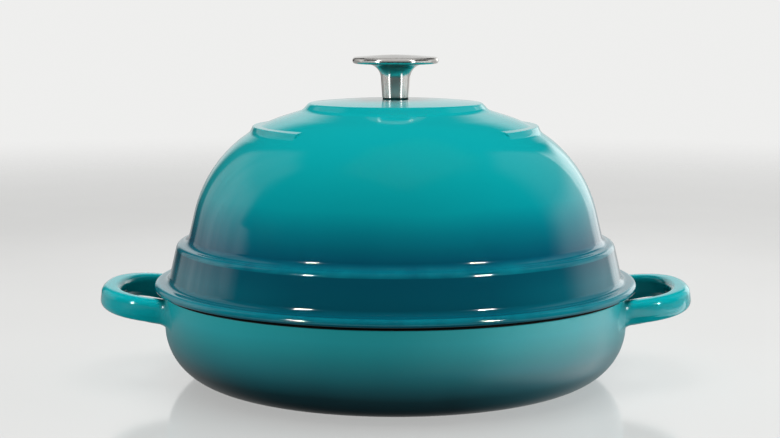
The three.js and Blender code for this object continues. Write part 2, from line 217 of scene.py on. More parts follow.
def turning_tree():
    """Geometry nodes that turn a profile about Z. The mesh that comes in holds the profile's points
    (radius, -, height) and after them one point for each angle (angle, share raised, -)."""
    tree = bpy.data.node_groups.new("turned_piece", "GeometryNodeTree")
    kinds = {
        "Profile": "Geometry", "Profile Points": "Int", "Groove Depth": "Float",
        "Grooves Per Metre": "Float", "Groove Starts": "Float", "Finish": "Material",
    }
    for name, kind in kinds.items():
        tree.interface.new_socket(name, in_out="INPUT", socket_type="NodeSocket" + kind)
    tree.interface.new_socket("Piece", in_out="OUTPUT", socket_type="NodeSocketGeometry")
    art = Wire(tree)
    given = {name: art.node("NodeGroupInput", output=name) for name in kinds}
    profile, count = given["Profile"], given["Profile Points"]
    points = art.node("GeometryNodeAttributeDomainSize", {"component": "MESH"}, {"Geometry": profile})
    grid = art.node("GeometryNodeMeshGrid", inputs={"Vertices X": points - count, "Vertices Y": count})
    index = art.node("GeometryNodeInputIndex")
    row = (index / count).math("FLOOR")
    column = index - row * count

    def sampled(value, at, kind="FLOAT"):
        inputs = {"Geometry": profile, "Value": value, "Index": at}
        return art.node("GeometryNodeSampleIndex", {"data_type": kind}, inputs)

    def marked(name, kind="FLOAT"):
        return art.node("GeometryNodeInputNamedAttribute", {"data_type": kind}, {"Name": name})

    def worked(piece, kind, **inputs):
        return art.node("GeometryNode" + kind, inputs={"Geometry": piece, **inputs})

    position = art.node("GeometryNodeInputPosition")
    repeat = sampled(position, row + count, "FLOAT_VECTOR")
    angle, raised_share = part(repeat, "X"), part(repeat, "Y")
    plain = sampled(position, column, "FLOAT_VECTOR")
    raised = sampled(marked("raised", "FLOAT_VECTOR"), column, "FLOAT_VECTOR")
    mix = {"Factor": raised_share, "A": plain, "B": raised}
    section = art.node("ShaderNodeMix", {"data_type": "VECTOR"}, mix)
    radius, height = part(section, "X"), part(section, "Z")
    turns = angle / (2 * math.pi) * given["Groove Starts"] + height * given["Grooves Per Metre"]
    wave = (turns.math("FRACT") * 2 - 1).math("ABSOLUTE")
    radius = radius - sampled(marked("grooved"), column) * given["Groove Depth"] * wave
    sixth = math.pi / 3
    off_flat = angle.math("FLOORED_MODULO", sixth) - sixth / 2
    hexagon = (off_flat.math("COSINE") / math.cos(sixth / 2)).math("POWER", -1)
    radius = radius * (sampled(marked("hexagonal"), column) * (hexagon - 1) + 1)
    place = art.node("ShaderNodeCombineXYZ", inputs={
        "X": radius * angle.math("COSINE"), "Y": radius * angle.math("SINE"), "Z": height})
    piece = worked(grid, "SetPosition", Position=place)
    for name in MARKS:
        piece = worked(piece, "StoreNamedAttribute", Name=name, Value=sampled(marked(name), column))
    piece = worked(piece, "MergeByDistance", Distance=WELD_DISTANCE)
    piece = worked(piece, "SetShadeSmooth")
    piece = worked(piece, "RealizeInstances")
    piece = worked(piece, "SetMaterial", Material=given["Finish"])
    art.node("NodeGroupOutput", inputs={"Piece": piece})
    return tree


TURNING = turning_tree()


def placed(name, data):
    made = bpy.data.objects.new(name, data)
    bpy.context.scene.collection.objects.link(made)
    return made


def turned(name, profile, finish, angles, marks=None, raised=None, shares=None, **sizes):
    """A piece turned about Z, whose profile can rise to another one by a share for each angle."""
    def upright(points):
        return np.column_stack([points[:, 0], np.zeros(len(points)), points[:, 1]])

    count = len(profile)
    shares = np.zeros(len(angles)) if shares is None else shares
    repeats = np.column_stack([angles, shares, np.zeros(len(angles))])
    mesh = bpy.data.meshes.new(name)
    mesh.from_pydata(np.vstack([upright(profile), repeats]).tolist(), [], [])
    above = upright(profile if raised is None else raised)
    attribute = mesh.attributes.new("raised", "FLOAT_VECTOR", "POINT")
    attribute.data.foreach_set("vector", np.vstack([above, repeats]).ravel())
    for mark in (*MARKS, "grooved", "hexagonal"):
        values = np.zeros(count + len(angles))
        values[:count] = (marks or {}).get(mark, 0)
        mesh.attributes.new(mark, "FLOAT", "POINT").data.foreach_set("value", values)
    piece = placed(name, mesh)
    modifier = piece.modifiers.new("turning", "NODES")
    modifier.node_group = TURNING
    sizes = {"Profile Points": count, "Finish": finish, **sizes}
    for socket in TURNING.interface.items_tree:
        if socket.name in sizes:
            modifier[socket.identifier] = sizes[socket.name]
    bpy.context.view_layer.update()
    evaluated = piece.evaluated_get(bpy.context.evaluated_depsgraph_get())
    result = bpy.data.meshes.new_from_object(evaluated)
    piece.modifiers.remove(modifier)
    piece.data = result
    bpy.data.meshes.remove(mesh)
    result.name = name
    result.set_sharp_from_angle(angle=CREASE)
    return piece


def full_turn(steps):
    return np.linspace(0, 2 * math.pi, steps + 1)


def blank_material(name):
    """A material without nodes, and the Object coordinates that its patterns read."""
    material = bpy.data.materials.new(name)
    material.use_nodes = True
    material.node_tree.nodes.clear()
    return material, Wire(material.node_tree).node("ShaderNodeTexCoord", output="Object")


def noise(place, scale, detail, roughness=0.5):
    inputs = {"Vector": place, "Scale": scale, "Detail": detail, "Roughness": roughness}
    return place.node("ShaderNodeTexNoise", inputs=inputs, output="Fac")


def ramp(value, stops):
    return value.node("ShaderNodeValToRGB", {"stops": stops}, {"Fac": value}, "Color")


def bump(height, strength, depth):
    inputs = {"Strength": strength, "Distance": depth, "Height": height}
    return height.node("ShaderNodeBump", inputs=inputs, output="Normal")


def mixed(share, first, second):
    return (1 - share) * first + share * second


def held(value):
    """The value, kept between 0 and 1."""
    return value.math("MAXIMUM", 0).math("MINIMUM", 1)


def shade(tone, factor):
    return tuple(value * factor for value in tone)


def surface(place, sockets):
    shader = place.node("ShaderNodeBsdfPrincipled", inputs=sockets)
    place.node("ShaderNodeOutputMaterial", inputs={"Surface": shader})


# The enamel's noises, as scale per metre and detail, and how strongly noises and marks show.
ENAMEL_NOISES = {
    "drift": (16, 3), "edge": (70, 2), "cream": (35, 4), "lining_border": (220, 2),
    "bare_border": (420, 3), "iron": (900, 4), "gloss": (90, 3), "satin": (60, 3),
    "wide_peel": (42, 2), "fine_peel": (260, 2),
}
GRAIN_ROUGHNESS = 0.55
GLAZE_DRIFT = 0.07
SIDE_LIGHT_STEEPNESS = 8
# Edges: thinner glaze, strengthened as a painted highlight.
EDGE_THINNING_AND_SHEEN = 1.15
LOOP_SHADE_SHARE = 0.7
CREAM_CLOUDS = 0.35
CREAM_SHADE = 0.8
IRON_SHINE = 2
LINING_STEEPNESS = 6
LINING_START = 2.5
BARE_STEEPNESS = 5
BARE_START = 2.2
BARE_RAGGEDNESS = 2.2
GLOSS_ROUGHNESS = (0.045, 0.085)
SATIN_ROUGHNESS = (0.27, 0.33)
BARE_ROUGHNESS = 0.5
FINE_PEEL = 0.25
PEEL_STRENGTH = 0.16
PEEL_DEPTH = 0.35 * MM
GLASS_IOR = 1.5


def enamel(name, glaze, low, high, iron, specular, side_light):
    """Fired glass enamel in a faint orange peel, whose colour changes with height. The piece's marks
    give the cream lining, bare iron, thinner and lighter glaze on edges, which is partly a painted
    highlight, satin, and painted shade inside the handle loops. The glaze is also painted lighter at
    the sides, below a share of the height, from a near X to a far X: painted light from the side lamps."""
    material, place = blank_material(name)

    def grain(kind):
        return noise(place, *ENAMEL_NOISES[kind], GRAIN_ROUGHNESS)

    def marked(mark):
        return place.node("ShaderNodeAttribute", {"attribute_name": mark}, output="Fac")

    def blend(share, below, above):
        inputs = {"Factor": share, "A": below, "B": above}
        return place.node("ShaderNodeMix", {"data_type": "RGBA"}, inputs)

    share = (part(place, "Z") - low) / (high - low) + (grain("drift") - 0.5) * GLAZE_DRIFT
    sideways = part(place, "X")
    if side_light["both_sides"]:
        sideways = sideways.math("ABSOLUTE")
    # Painted light: towards the sides, below a share of the height, the glaze shifts to the lighter
    # glaze.
    outwards = held((sideways - side_light["near"]) / (side_light["far"] - side_light["near"]))
    lit_and_thinned_share = outwards * held((side_light["below"] - share) * SIDE_LIGHT_STEEPNESS) * side_light["amount"]
    # The edges take the lighter glaze: partly thinner glaze, partly a painted highlight.
    lit_and_thinned_share = held(lit_and_thinned_share + marked("edge") * EDGE_THINNING_AND_SHEEN * grain("edge"))
    teal = blend(lit_and_thinned_share, ramp(share, glaze), LIT_AND_THIN_GLAZE)
    # Painted shade: the glaze inside the handle loops is darkened where the loop shadows itself.
    teal = blend(held(marked("pooled")) * LOOP_SHADE_SHARE, teal, LOOP_SHADE_GLAZE)
    cream = blend(grain("cream") * CREAM_CLOUDS, CREAM, shade(CREAM, CREAM_SHADE))
    lining = held(marked("lining") * LINING_STEEPNESS - LINING_START + grain("lining_border"))
    ragged = (grain("bare_border") - 0.5) * BARE_RAGGEDNESS
    bare = held(marked("bare") * BARE_STEEPNESS - BARE_START + ragged)
    metal = blend(grain("iron"), iron, shade(iron, IRON_SHINE))
    gloss = mixed(grain("gloss"), *GLOSS_ROUGHNESS)
    satin = held(marked("satin")) * mixed(grain("satin"), *SATIN_ROUGHNESS)
    peel = grain("fine_peel") * FINE_PEEL + grain("wide_peel")
    surface(place, {
        "Base Color": blend(bare, blend(lining, teal, cream), metal),
        "Roughness": gloss + satin + bare * BARE_ROUGHNESS,
        "Normal": bump(peel, PEEL_STRENGTH, PEEL_DEPTH),
        "IOR": GLASS_IOR,
        "Specular IOR Level": specular,
    })
    return material


def pan_radius(z):
    """Outside of the drafted wall at a height."""
    return PAN_RIM_RADIUS - (PAN_HEIGHT - z) * math.tan(PAN_DRAFT)


pan_wall_level = PAN_WALL / math.cos(PAN_DRAFT)
pan_mouth = PAN_RIM_RADIUS - pan_wall_level
pan_profile, pan_corner = rounded([
    (0, PAN_FLOOR, 0),
    (pan_radius(PAN_FLOOR) - pan_wall_level, PAN_FLOOR, PAN_CORNER - PAN_WALL),
    (pan_mouth, PAN_HEIGHT, PAN_RIM_ROUND),
    (PAN_RIM_RADIUS, PAN_HEIGHT, PAN_RIM_ROUND),
    (pan_radius(0), 0, PAN_CORNER),
    (0, 0, 0),
])
RIM_INSIDE, RIM_OUTSIDE = 2, 3
pan_marks = {
    "lining": pan_corner < RIM_INSIDE,
    "bare": (pan_corner >= RIM_INSIDE) & (pan_profile[:, 1] > PAN_HEIGHT - PAN_RIM_BARE),
    "satin": pan_corner >= RIM_OUTSIDE,
}
pan_enamel = enamel("pan_enamel", PAN_GLAZE, 0, PAN_HEIGHT, BLACK_IRON, PAN_SPECULAR, PAN_SIDE_LIGHT)
pan = turned("enamelled_pan", pan_profile, pan_enamel, full_turn(PAN_ANGLES), pan_marks)

# Loop handles, part of the pan's casting: a rounded bar bent into a flat loop, rising a little
# outwards, whose arms spread into the wall with a soft cast fillet. The glaze inside the loop is
# painted darker: painted shade where the loop shadows itself.
HANDLE_REACH = 34.9 * MM
HANDLE_SPAN = 92 * MM
HANDLE_SQUARENESS = 2.37
HANDLE_BAR = 11.5 * MM
HANDLE_DEPTH = 12.9 * MM
HANDLE_ROUND = 4.3 * MM
HANDLE_DROP = 7.4 * MM
HANDLE_TILT = math.radians(7.1)
HANDLE_FLARE = 1.6 * MM
HANDLE_FILLET = 4.2 * MM
HANDLE_TOP_FILLET = 1.8 * MM
HANDLE_ROOT = 0.6 * MM
HANDLE_SINK = 0.8 * MM
HANDLE_WEB = 3.0 * MM
HANDLE_WEB_LENGTH = 30 * MM
HANDLE_WEB_LEVEL = 0.3
INNER_SHADE_STEEPNESS = 1.4
INNER_SHADE_START = 0.1
INNER_SHADE_FULL = 0.5
FILLET_STEPS = 16
ARM_STEPS = 12
BEND_STEPS = 60
BEND_FINE_STEPS = 2000
SECTION_STEPS = 10
WALL_PASSES = 12


def bar_section():
    """Rounded rectangle of the bar: its points (outwards, up) and the way that each point faces."""
    across, up = HANDLE_BAR / 2 - HANDLE_ROUND, HANDLE_DEPTH / 2 - HANDLE_ROUND
    points, facing = [], []
    for quarter, (side, level) in enumerate(((1, 1), (-1, 1), (-1, -1), (1, -1))):
        for step in range(SECTION_STEPS + 1):
            turn = (quarter + step / SECTION_STEPS) * math.pi / 2
            way = np.array([math.cos(turn), math.sin(turn)])
            facing.append(way)
            points.append((side * across, level * up) + HANDLE_ROUND * way)
    return np.array(points), np.array(facing)


def handle_point(along, across, up):
    """From the handle's own plane (outwards from the rim, along Y, up) to the pot's frame."""
    x = PAN_RIM_RADIUS + along * math.cos(HANDLE_TILT) - up * math.sin(HANDLE_TILT)
    z = PAN_HEIGHT - HANDLE_DROP + along * math.sin(HANDLE_TILT) + up * math.cos(HANDLE_TILT)
    return np.stack([x, across, z], axis=-1)


def wall_along(across, up):
    """How far out along the handle's plane the pan's wall lies."""
    along = np.zeros_like(across)
    for _ in range(WALL_PASSES):
        place = handle_point(along, across, up)
        along = along - (np.hypot(place[:, 0], place[:, 1]) - pan_radius(place[:, 2]))
    return along


def run_along(points):
    """How far along a path each of its points lies."""
    steps = np.linalg.norm(np.diff(points, axis=0), axis=1)
    return np.concatenate([[0], np.cumsum(steps)])


def resampled(points, shares):
    """Points at given shares of a path's length."""
    run = run_along(points)
    return np.column_stack([np.interp(shares * run[-1], run, points[:, k]) for k in (0, 1)])


def loop_path():
    """Middle line of the loop from the end of an arm to its outermost point, with its outward normals."""
    reach = HANDLE_REACH + HANDLE_ROOT - HANDLE_BAR / 2
    half = HANDLE_SPAN / 2 - HANDLE_BAR / 2
    turn = np.linspace(math.pi / 2, 0, BEND_FINE_STEPS + 1)
    fine = np.column_stack([
        reach * np.cos(turn) ** (2 / HANDLE_SQUARENESS) - HANDLE_ROOT,
        half * np.sin(turn) ** (2 / HANDLE_SQUARENESS),
    ])
    path = resampled(fine, np.linspace(0, 1, BEND_STEPS + 1))
    tangent = np.gradient(path, axis=0)
    tangent[0] = (1, 0)
    tangent[-1] = (0, -1)
    tangent /= np.linalg.norm(tangent, axis=1)[:, None]
    return path, np.column_stack([-tangent[:, 1], tangent[:, 0]])


def loop_handle():
    """Rings of the bar from one arm's root round to the other's, with the marks of their points."""
    section, facing = bar_section()
    path, normals = loop_path()
    arm_end, arm_y = path[0]
    arm_length = arm_end - wall_along(np.full(1, arm_y), np.zeros(1))[0]
    upward = np.clip(facing[:, 1], 0, 1)
    outward = (facing[:, 0] + 1) / 2
    inward = np.clip(-facing[:, 0], 0, 1)
    fillet = HANDLE_FILLET + (HANDLE_TOP_FILLET - HANDLE_FILLET) * np.sqrt(upward)
    # Painted shade on the loop's inward faces, which grows in along each arm.
    inner_shade = np.clip(-facing[:, 0] * INNER_SHADE_STEEPNESS - INNER_SHADE_START, 0, 1)
    low_inside = inward * np.clip(HANDLE_WEB_LEVEL - facing[:, 1], 0, 1) / (1 - HANDLE_WEB_LEVEL)
    rings, satin, pooled = [], [], []

    def web(distance):
        return HANDLE_WEB * max(0, 1 - (distance / HANDLE_WEB_LENGTH) ** 2) * low_inside

    turn = np.linspace(0, math.pi / 2, FILLET_STEPS)
    beyond = np.linspace(HANDLE_FILLET, arm_length, ARM_STEPS + 2)[1:-1]
    for off_wall in (-HANDLE_SINK, *(HANDLE_FILLET * (1 - np.cos(turn))), *beyond):
        distance = max(off_wall, 0)
        share = distance / arm_length
        short = 1 - np.minimum(distance / fillet, 1)
        grow = fillet * (1 - np.sqrt(1 - short ** 2))
        flare = HANDLE_FLARE * (1 - share) ** 2 * outward
        across = arm_y + section[:, 0] + facing[:, 0] * grow + flare
        up = section[:, 1] + facing[:, 1] * grow - web(distance)
        wall = wall_along(across, up)
        along = wall + off_wall + (arm_end - arm_length - wall) * share
        rings.append(handle_point(along, across, up))
        satin.append(np.full(len(section), 1 - share))
        pooled.append(inner_shade * min(share / INNER_SHADE_FULL, 1))
    step_length = np.linalg.norm(path[1] - path[0])
    for step, ((along, across), normal) in enumerate(zip(path, normals)):
        out = section[:, 0]
        up = section[:, 1] - web(arm_length + step * step_length)
        rings.append(handle_point(along + normal[0] * out, across + normal[1] * out, up))
        satin.append(np.zeros(len(section)))
        pooled.append(inner_shade)
    other_half = [ring * (1, -1, 1) for ring in rings[-2::-1]]
    marks = {"satin": satin + satin[-2::-1], "pooled": pooled + pooled[-2::-1]}
    return rings + other_half, marks


def lofted(name, rings, finish, marks=None):
    """A closed skin over rings of points, with its two ends capped."""
    sides = len(rings[0])
    vertices = np.vstack(rings)
    faces = []
    for ring in range(len(rings) - 1):
        low, high = ring * sides, (ring + 1) * sides
        for i in range(sides):
            j = (i + 1) % sides
            faces.append((low + i, low + j, high + j, high + i))
    faces.append(tuple(reversed(range(sides))))
    faces.append(tuple(range(len(vertices) - sides, len(vertices))))
    mesh = bpy.data.meshes.new(name)
    mesh.from_pydata(vertices.tolist(), [], faces)
    mesh.materials.append(finish)
    mesh.shade_smooth()
    mesh.set_sharp_from_angle(angle=CREASE)
    for mark in MARKS:
        attribute = mesh.attributes.new(mark, "FLOAT", "POINT")
        if marks and mark in marks:
            attribute.data.foreach_set("value", np.concatenate(marks[mark]))
    return placed(name, mesh)


right_rings, handle_marks = loop_handle()
left_rings = [ring * (-1, -1, 1) for ring in right_rings]
handles = [
    lofted("right_handle", right_rings, pan_enamel, handle_marks),
    lofted("left_handle", left_rings, pan_enamel, handle_marks),
]
casting = {"active_object": pan, "selected_editable_objects": [pan, *handles]}
with bpy.context.temp_override(**casting):
    bpy.ops.object.join()
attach(pan, "pan")
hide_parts("base_pan")

# Dome lid: one iron casting about 4.5 mm thick, with a raised disc in the middle, a ledge round the
# shoulder that is broken at the front, a stepped band and a flange. Teal enamel that darkens downwards.
SEAT_GAP = 0.3 * MM
REGISTER_CLEARANCE = 0.9 * MM
LID_RISE = 106 * MM
LID_WALL = 4.5 * MM
LID_TURN = math.radians(4.1)
INNER_ROUND = 1 * MM
FLANGE_RADIUS = 136 * MM
FLANGE_THICKNESS = 5.4 * MM
FLANGE_FALL = 0.6 * MM
FLANGE_TOP_ROUND = 2.8 * MM
FLANGE_LOWER_ROUND = 0.8 * MM
FLANGE_LIFT = 1.2 * MM
FLANGE_BARE = 0.1 * MM
REGISTER_DEPTH = 4.2 * MM
REGISTER_WIDTH = 4.5 * MM
REGISTER_ROUND = 1.2 * MM
BAND_HEIGHT = 26 * MM
BAND_RADIUS = 123.1 * MM
BAND_DRAFT = math.radians(13.4)
BAND_ROUND = 3.5 * MM
BAND_COVE = 4 * MM
DOME_FOOT_RADIUS = 117.2 * MM
DOME_FOOT_RISE = 0.8 * MM
DOME_COVE = 5 * MM
DOME_DRAFT = math.radians(13.5)
DOME_SHOULDER = 73.3 * MM
CAP_SLOPE = math.radians(17.7)
PLATEAU_RADIUS = 48.8 * MM
PLATEAU_STEP = 4 * MM
PLATEAU_RUN = 3.6 * MM
PLATEAU_ROUND = 2.4 * MM
PLATEAU_FOOT_ROUND = 7 * MM
CROWN_FALL = 2.2 * MM
CROWN_FLAT = 24 * MM
CROWN_ROUND = 400 * MM
RING_RADIUS = 80.2 * MM
RING_LEDGE = 4.6 * MM
RING_LEAN = 1.4 * MM
RING_ROUND = 0.7 * MM
RING_FOOT_ROUND = 6 * MM
RING_LEAD_IN = 1.6 * MM
RING_LEAD_OUT = 4 * MM
RING_STRETCH = 0.8 * MM
RING_TAPER = 0.42
RING_TAPER_TURN = math.radians(40)
RING_BREAK = math.radians(89)
RING_END = math.radians(1.1)
RING_END_SLOPE = 0.6 * RING_END
SCREW_RADIUS = 3 * MM
SIDE_GAP = 0.3 * MM
LID_ANGLES = 264
RING_END_ANGLES = 14
LID_GLAZE = (
    (0.00, (0.001, 0.098, 0.142)),
    (0.13, (0.001, 0.097, 0.145)),
    (0.22, (0.001, 0.090, 0.140)),
    (0.27, (0.001, 0.098, 0.165)),
    (0.35, (0.001, 0.165, 0.232)),
    (0.43, (0.001, 0.252, 0.318)),
    (0.52, (0.001, 0.356, 0.404)),
    (0.66, (0.002, 0.386, 0.415)),
    (1.00, (0.003, 0.440, 0.465)),
)
# Painted light: low on the lid, at both sides, the glaze is painted lighter, where the side windows fall.
LID_SIDE_LIGHT = {"near": 50 * MM, "far": 115 * MM, "below": 0.26, "amount": 0.5, "both_sides": True}
LID_SPECULAR = 0.5
WORN_IRON = (0.030, 0.027, 0.024)
# How far up the cove above the ledge is painted lighter, as thinner glaze and painted reflection, and how
# strongly.
LEDGE_THIN_AND_LIT = 3 * MM
LEDGE_THINNING_AND_SHEEN = 0.85

seat_z = PAN_HEIGHT + SEAT_GAP
crown_z = seat_z + LID_RISE
flange_top_z = seat_z + FLANGE_THICKNESS - FLANGE_FALL
screw_hole = SCREW_RADIUS + SIDE_GAP


def meet(start, along, other, other_along):
    """Where two lines cross, each given by a point and a direction."""
    ways = np.column_stack([along, -np.array(other_along)])
    share = np.linalg.solve(ways, np.subtract(other, start))
    return np.array(start) + share[0] * np.array(along)


def downhill(angle):
    return np.array([math.cos(angle), -math.sin(angle)])


def lid_outside():
    """Corners of the lid's outside, from the screw hole to the foot of the band."""
    band_top = (BAND_RADIUS, seat_z + BAND_HEIGHT)
    dome_foot = (DOME_FOOT_RADIUS, band_top[1] + DOME_FOOT_RISE)
    edge_z = crown_z - CROWN_FALL
    plateau_foot = (PLATEAU_RADIUS + PLATEAU_RUN, edge_z - PLATEAU_STEP)
    shoulder = meet(plateau_foot, downhill(CAP_SLOPE), dome_foot, downhill(math.pi / 2 - DOME_DRAFT))
    slope = (FLANGE_RADIUS - BAND_RADIUS, -FLANGE_FALL)
    flange_top = (FLANGE_RADIUS, flange_top_z)
    band_foot = meet(band_top, downhill(math.pi / 2 - BAND_DRAFT), flange_top, slope)
    return [
        (screw_hole, crown_z, 0),
        (CROWN_FLAT, crown_z, CROWN_ROUND),
        (PLATEAU_RADIUS, edge_z, PLATEAU_ROUND),
        (*plateau_foot, PLATEAU_FOOT_ROUND),
        (*shoulder, DOME_SHOULDER),
        (*dome_foot, DOME_COVE),
        (*band_top, BAND_ROUND),
        (*band_foot, BAND_COVE),
    ]


def inset(corners, wall):
    """The inside of the shell: every straight stretch of the outside moves in by the wall."""
    at = [np.array(corner[:2]) for corner in corners]
    lines = []
    for here, ahead in zip(at, at[1:]):
        along = unit(ahead - here)
        lines.append((here + wall * np.array([along[1], -along[0]]), along))
    inner = [(*lines[0][0], 0)]
    for i in range(1, len(lines)):
        (start, along), (other, other_along) = lines[i - 1], lines[i]
        convex = along[0] * other_along[1] - along[1] * other_along[0] < 0
        round_inside = corners[i][2] + (-wall if convex else wall)
        inner.append((*meet(start, along, other, other_along), max(round_inside, INNER_ROUND)))
    return inner


lip_radius = pan_mouth - REGISTER_CLEARANCE
lip_z = seat_z - REGISTER_DEPTH
lid_outer = lid_outside()
lid_edge = [
    (FLANGE_RADIUS, flange_top_z, FLANGE_TOP_ROUND),
    (FLANGE_RADIUS, seat_z + FLANGE_LIFT, FLANGE_LOWER_ROUND),
    (PAN_RIM_RADIUS - PAN_RIM_ROUND, seat_z, 0),
    (lip_radius, seat_z, 0),
    (lip_radius, lip_z, REGISTER_ROUND),
    (lip_radius - REGISTER_WIDTH, lip_z, REGISTER_ROUND),
]
lid_inner = inset(lid_outer, LID_WALL)[::-1]
lid_profile, lid_corner = rounded([*lid_outer, *lid_edge, *lid_inner, lid_outer[0]])
SHOULDER, DOME_FOOT, BAND_TOP = 4, 5, 6
FLANGE_TOP = len(lid_outer)
FLANGE_LOWER = FLANGE_TOP + 1
LIP_INSIDE = FLANGE_TOP + len(lid_edge) - 1

# The shoulder ring's section takes the place of the bare dome between its ledge and its foot.
dome_r, dome_z = lid_profile[:np.searchsorted(lid_corner, DOME_FOOT)].T
ledge_start = RING_RADIUS - RING_LEDGE
ledge_z = np.interp(ledge_start, dome_r, dome_z)
ring_foot = RING_RADIUS + RING_LEAN
ring_first = np.searchsorted(dome_r, ledge_start - RING_LEAD_IN)
ring_after = np.searchsorted(dome_r, ring_foot + RING_LEAD_OUT) + 1
bare_stretch = lid_profile[ring_first:ring_after]
ring_stretch, _ = rounded([
    (*bare_stretch[0], 0),
    (ledge_start, ledge_z, RING_ROUND),
    (RING_RADIUS, ledge_z, RING_ROUND),
    (ring_foot, np.interp(ring_foot, dome_r, dome_z), RING_FOOT_ROUND),
    (*bare_stretch[-1], 0),
], longest=RING_STRETCH)
ring_run = run_along(ring_stretch)
bare_stretch = resampled(bare_stretch, ring_run / ring_run[-1])


def spliced(whole, stretch):
    return np.concatenate([whole[:ring_first], stretch, whole[ring_after:]])


lid_raised = spliced(lid_profile, ring_stretch)
lid_profile = spliced(lid_profile, bare_stretch)
lid_corner = spliced(lid_corner, np.full(len(ring_stretch), SHOULDER))

break_middle = -math.pi / 2 + LID_TURN
lid_angles = break_middle + full_turn(LID_ANGLES) - math.pi
for ring_edge in (break_middle - RING_BREAK / 2, break_middle + RING_BREAK / 2):
    end_angles = ring_edge + np.linspace(-RING_END, RING_END, RING_END_ANGLES)
    others = lid_angles[np.abs(lid_angles - ring_edge) > RING_END]
    lid_angles = np.concatenate([others, end_angles])
lid_angles = np.sort(lid_angles)
past_break = np.abs(lid_angles - break_middle) - RING_BREAK / 2
end_share = np.clip(past_break / RING_END_SLOPE + 0.5, 0, 1)
taper_share = np.clip(past_break / RING_TAPER_TURN, 0, 1)
ring_share = end_share ** 2 * (3 - 2 * end_share) * (1 - RING_TAPER * (1 - taper_share) ** 2)

below_edge = lid_profile[:, 1] < seat_z + FLANGE_LIFT + FLANGE_BARE
# The cove above the band's ledge, the band's top and the flange's top take the lighter edge glaze: partly
# thinner glaze, partly painted highlight and reflection.
above_ledge = (lid_profile[:, 1] - lid_outer[DOME_FOOT][1]) / LEDGE_THIN_AND_LIT
thin_and_lit_ledge = (lid_corner == DOME_FOOT) * np.clip(1 - above_ledge, 0, 1) * LEDGE_THINNING_AND_SHEEN
lid_marks = {
    "lining": lid_corner > LIP_INSIDE,
    "bare": (lid_corner >= FLANGE_LOWER) & (lid_corner <= LIP_INSIDE) & below_edge,
    "edge": np.maximum(thin_and_lit_ledge, np.isin(lid_corner, (BAND_TOP, FLANGE_TOP))),
}
lid_enamel = enamel("lid_enamel", LID_GLAZE, seat_z, crown_z, WORN_IRON, LID_SPECULAR, LID_SIDE_LIGHT)
lid = turned(
    "dome_lid_casting", lid_profile, lid_enamel, lid_angles, lid_marks, lid_raised, ring_share)
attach(lid, "lid")
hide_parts("dome_lid")

# Knob gasket: a thin ring of black rubber, die cut from sheet, that keeps the steel knob off the glass
# enamel. It lies loose on the crown under the stem's foot until the knob's screw presses it flat.
GASKET_THICKNESS = 0.8 * MM
GASKET_PRESSED = 0.45 * MM
GASKET_RADIUS = 7.2 * MM
GASKET_ROUND = 0.15 * MM
KNOB_ANGLES = 128
RUBBER_DARK = (0.008, 0.008, 0.009)
RUBBER_LIGHT = (0.022, 0.022, 0.023)
RUBBER_GRAIN = (1800, 4)
RUBBER_ROUGHNESS = (0.55, 0.80)
RUBBER_BUMP = 0.3
RUBBER_DEPTH = 0.05 * MM
NOISE_LOW, NOISE_HIGH = 0.3, 0.7


def toned(value, dark, light):
    """A colour that follows a noise over the range where most of its values lie."""
    return ramp(value, ((NOISE_LOW, dark), (NOISE_HIGH, light)))


def rubber(name):
    material, place = blank_material(name)
    grain = noise(place, *RUBBER_GRAIN)
    surface(place, {
        "Base Color": toned(grain, RUBBER_DARK, RUBBER_LIGHT),
        "Roughness": mixed(grain, *RUBBER_ROUGHNESS),
        "Normal": bump(grain, RUBBER_BUMP, RUBBER_DEPTH),
    })
    return material


def ring_profile(outer_radius, inner_radius, low, high, edge_round):
    """Section of a flat ring with its edges broken."""
    seam = ((outer_radius + inner_radius) / 2, high, 0)
    corners = ((outer_radius, high), (outer_radius, low), (inner_radius, low), (inner_radius, high))
    return rounded([seam, *((*corner, edge_round) for corner in corners), seam])[0]


gasket_z = crown_z + SEAT_GAP
pressed_z = crown_z + GASKET_PRESSED
gasket_profile = ring_profile(GASKET_RADIUS, screw_hole, crown_z, pressed_z, GASKET_ROUND)
gasket = turned("rubber_gasket", gasket_profile, rubber("gasket_rubber"), full_turn(KNOB_ANGLES))
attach(gasket, "lid")
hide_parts("knob_gasket")

# Knob: a trumpet-shaped stem with a threaded bush pressed into it, and a crowned cap that closes
# it from above. All three are turned from stainless steel and brushed round the axis.
KNOB_HEIGHT = 23.2 * MM
KNOB_RADIUS = 24.2 * MM
KNOB_RIM = 3.6 * MM
KNOB_RIM_ROUND = 1.75 * MM
KNOB_CROWN = 1.3 * MM
KNOB_CROWN_FLAT = 8 * MM
KNOB_CROWN_ROUND = 180 * MM
KNOB_STRETCH = 1.5 * MM
CAP_RECESS_ROUND = 0.2 * MM
STEM_FOOT_RADIUS = 7.4 * MM
STEM_TOP_RADIUS = 8.8 * MM
STEM_FOOT_ROUND = 0.4 * MM
STEM_FLARE = 8 * MM
STEM_DISC_RADIUS = 21 * MM
STEM_DISC_THICKNESS = 1.2 * MM
STEM_DISC_RISE = 0.5 * MM
INSERT_RADIUS = 5.2 * MM
INSERT_LENGTH = 12 * MM
INSERT_EDGE = 0.4 * MM
KNURL_COUNT = 44
KNURL_STEPS = 4
KNURL_DEPTH = 0.18 * MM
KNURL_MARGIN = 0.05 * MM
SATIN_STEEL = (0.63, 0.615, 0.59)
PLAIN_STEEL = (0.52, 0.51, 0.50)
STEEL_SHADE = 0.86
STEEL_LINES = (5200, 3)
STEEL_PATCHES = (160, 3)
LINES_SHARE = 0.6
LINES_ROUGHNESS = 0.12
PATCHES_ROUGHNESS = 0.08
BRUSHING_DEPTH = 0.02 * MM
BRUSHING_STRETCH = 0.85
QUARTER_TURN = 0.25


